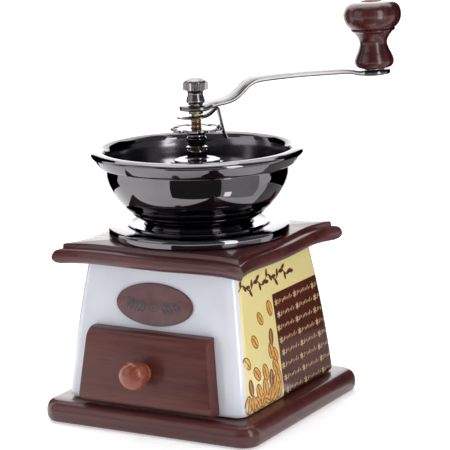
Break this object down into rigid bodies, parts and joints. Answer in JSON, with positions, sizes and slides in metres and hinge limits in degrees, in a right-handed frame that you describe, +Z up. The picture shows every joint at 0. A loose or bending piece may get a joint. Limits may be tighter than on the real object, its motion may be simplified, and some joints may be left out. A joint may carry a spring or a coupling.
{
  "type": "hand burr coffee grinder",
  "caption": "Hand-cranked burr coffee grinder: open metal hopper bowl and crank over a tapered glazed ceramic box with a wooden base, wooden top and a sliding drawer for the grounds.",
  "frame": {"origin": "centre of the wooden base's underside, on the spindle's axis", "axes": "+Z up along the spindle, -Y is the drawer's front, +X is the right-hand side seen from the drawer; the crank at rest points between +X and +Y"},
  "size_m": [0.1497, 0.164, 0.214],
  "materials": {
    "stained_wood": "dark red-brown stain under gloss lacquer",
    "knob_wood": "red-brown stain under lacquer",
    "plain_wood": "bare beech",
    "glaze": "opaque glossy white glaze on ceramic",
    "plaque": "semi-gloss dark brown",
    "black_nickel": "dark mirror plating on pressed steel",
    "nickel": "nickel plating",
    "yellow_zinc": "yellow-passivated zinc on steel",
    "cast_iron": "as cast",
    "spring_steel": "bare spring steel"
  },
  "bodies": {
    "housing": {"base_plate": "stained_wood", "tie_screw_1": "yellow_zinc", "tie_screw_2": "yellow_zinc", "tie_screw_3": "yellow_zinc", "tie_screw_4": "yellow_zinc", "ceramic_body": "glaze", "front_plaque": "plaque", "top_plate": "stained_wood", "drawer_runner_left": "plain_wood", "drawer_runner_right": "plain_wood", "hopper_base": "black_nickel", "hopper_bowl": "black_nickel", "burr_carrier": "cast_iron", "carrier_screw_1": "yellow_zinc", "carrier_screw_2": "yellow_zinc", "carrier_screw_3": "yellow_zinc", "outer_burr": "cast_iron", "bridge": "black_nickel", "bridge_screw_1": "nickel", "bridge_screw_2": "nickel", "bush": "black_nickel", "bush_nut": "nickel"},
    "wheel": {"adjusting_wheel": "black_nickel", "thrust_washer": "nickel"},
    "spring_end": {"spring_seat": "yellow_zinc", "burr_spring": "spring_steel"},
    "spindle": {"spindle": "yellow_zinc", "inner_burr": "cast_iron", "burr_washer": "yellow_zinc", "burr_nut": "yellow_zinc", "crank_spacer": "yellow_zinc", "crank_arm": "nickel", "crank_washer": "yellow_zinc", "stopper_leaf": "nickel", "thumb_nut": "nickel", "handle_washer": "nickel", "handle_pin": "nickel"},
    "handle": {"handle_knob": "stained_wood"},
    "drawer": {"drawer_front": "stained_wood", "drawer_knob": "knob_wood", "drawer_knob_screw": "yellow_zinc", "drawer_side_left": "plain_wood", "drawer_side_right": "plain_wood", "drawer_floor": "plain_wood", "drawer_back": "plain_wood"}
  },
  "joints": [
    {"name": "crank_spin", "type": "hinge", "parent": "housing", "child": "wheel", "pos_m": [0, 0, 0.141], "axis": [0, 0, 1], "continuous": true},
    {"name": "grind_setting", "type": "hinge", "parent": "wheel", "child": "spring_end", "pos_m": [0, 0, 0.15], "axis": [0, 0, 1], "range_deg": [-360, 180], "deforming": ["stopper_leaf"]},
    {"name": "burr_lift", "type": "slide", "parent": "spring_end", "child": "spindle", "axis": [0, 0, 1], "range_m": [-0.001, 0.0005], "deforming": ["burr_spring"]},
    {"name": "handle_spin", "type": "hinge", "parent": "spindle", "child": "handle", "pos_m": [0.07092, 0.07092, 0.1769], "axis": [-0.0247, -0.0247, 0.9994], "continuous": true},
    {"name": "drawer_slide", "type": "slide", "parent": "housing", "child": "drawer", "axis": [0, -1, 0], "range_m": [0, 0.072]}
  ],
  "couplings": [
    {"joint": "grind_setting", "follows": "burr_lift", "rad_per_m": 6283.2}
  ]
}
